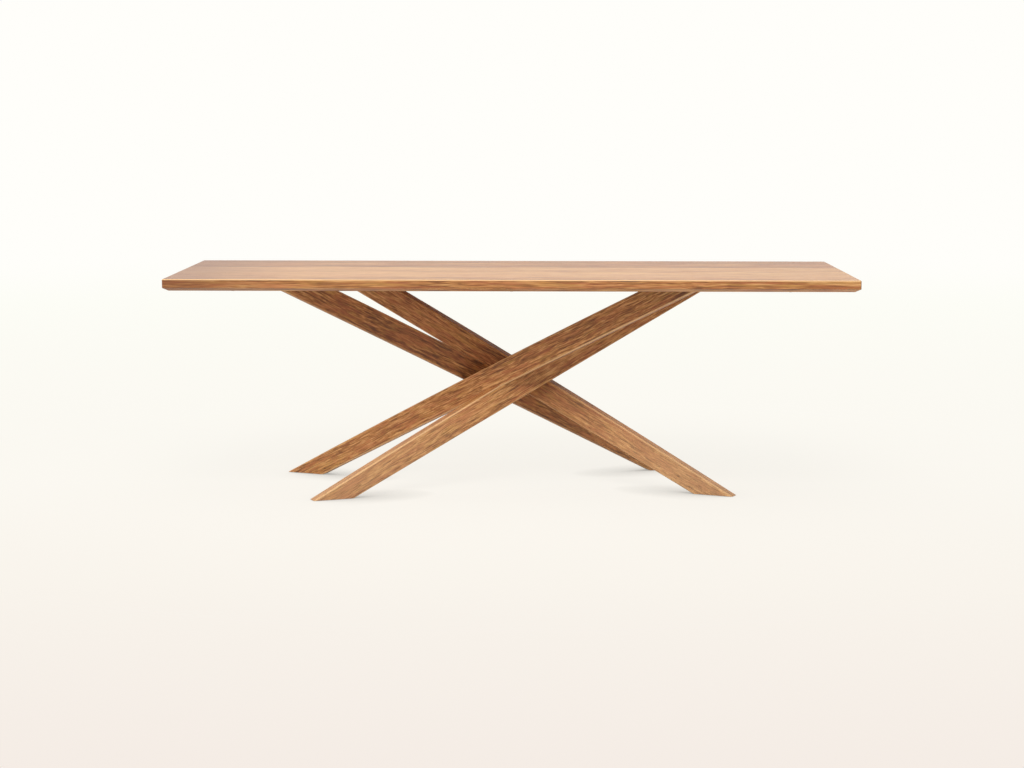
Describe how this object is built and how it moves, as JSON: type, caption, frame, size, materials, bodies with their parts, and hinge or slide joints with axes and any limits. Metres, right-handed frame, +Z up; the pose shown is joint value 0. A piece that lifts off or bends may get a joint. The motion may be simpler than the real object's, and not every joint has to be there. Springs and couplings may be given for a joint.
{
  "type": "sawbuck dining table",
  "caption": "Rectangular dining table: a plank top with a bevelled lower edge on long, tapered plank legs that cross under it in a sawbuck frame",
  "frame": {"origin": "on the floor, under the middle of the top", "axes": "+X along the length of the top, +Y from the front long side to the rear one, +Z up; seen from the front, the legs nearest the front rise to the right from the foot"},
  "size_m": [2.4, 1, 0.788],
  "materials": {
    "top_wood": "oiled, satin, grain along the top",
    "leg_wood": "oiled, satin, grain along the leg",
    "hidden_wood": "plain, unfinished",
    "black_steel": "fine matt powder coat",
    "zinc_steel": "bright zinc plate",
    "black_bolts": "black oxide",
    "glide_plastic": "matt, dark"
  },
  "bodies": {
    "root": {"top_board_1": "top_wood", "top_board_2": "top_wood", "top_board_3": "top_wood", "top_board_4": "top_wood", "top_board_5": "top_wood", "top_board_6": "top_wood", "top_board_7": "top_wood", "top_board_8": "top_wood", "top_tongues": "hidden_wood", "flat_bar_left": "black_steel", "flat_bar_middle": "black_steel", "flat_bar_right": "black_steel", "bar_screws": "zinc_steel", "leg_front_left": "leg_wood", "leg_rear_left": "leg_wood", "leg_rear_right": "leg_wood", "leg_front_right": "leg_wood", "leg_plate_front_left": "black_steel", "leg_plate_rear_left": "black_steel", "leg_plate_rear_right": "black_steel", "leg_plate_front_right": "black_steel", "leg_lag_screws": "zinc_steel", "plate_bolts": "black_bolts", "threaded_inserts": "zinc_steel", "crossing_dowels": "hidden_wood", "crossing_screws": "zinc_steel", "screw_plugs": "leg_wood", "foot_glides_front_left": "glide_plastic", "foot_glides_rear_left": "glide_plastic", "foot_glides_rear_right": "glide_plastic", "foot_glides_front_right": "glide_plastic"}
  },
  "joints": []
}
